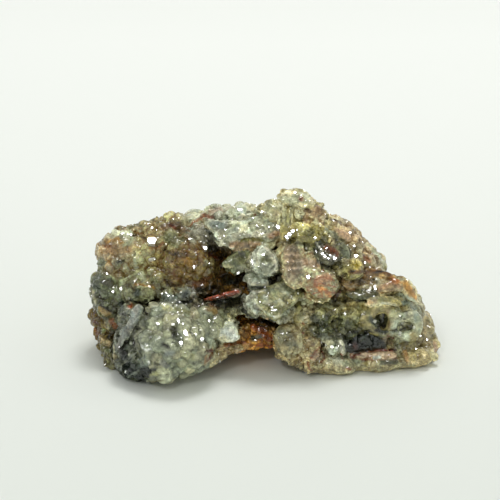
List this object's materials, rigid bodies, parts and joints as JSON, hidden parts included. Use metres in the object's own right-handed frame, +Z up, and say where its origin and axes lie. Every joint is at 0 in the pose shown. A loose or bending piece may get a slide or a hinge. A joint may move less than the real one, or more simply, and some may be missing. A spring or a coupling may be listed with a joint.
{
  "type": "chalcedony rose",
  "caption": "Natural chalcedony rose: a lumpy translucent quartz piece of overlapping botryoidal lobes and curled leaves around a deep split.",
  "frame": {"origin": "on the table, under the middle of the rose's bounding box, as it rests", "axes": "+X along the rose's length towards the low ledged end, -Y towards the side with the big botryoidal knob, +Z up"},
  "size_m": [0.0558, 0.035, 0.0269],
  "materials": {
    "chalcedony": "glossy, translucent, stained with rust in the creases"
  },
  "bodies": {
    "root": {"chalcedony_rose": "chalcedony"}
  },
  "joints": []
}
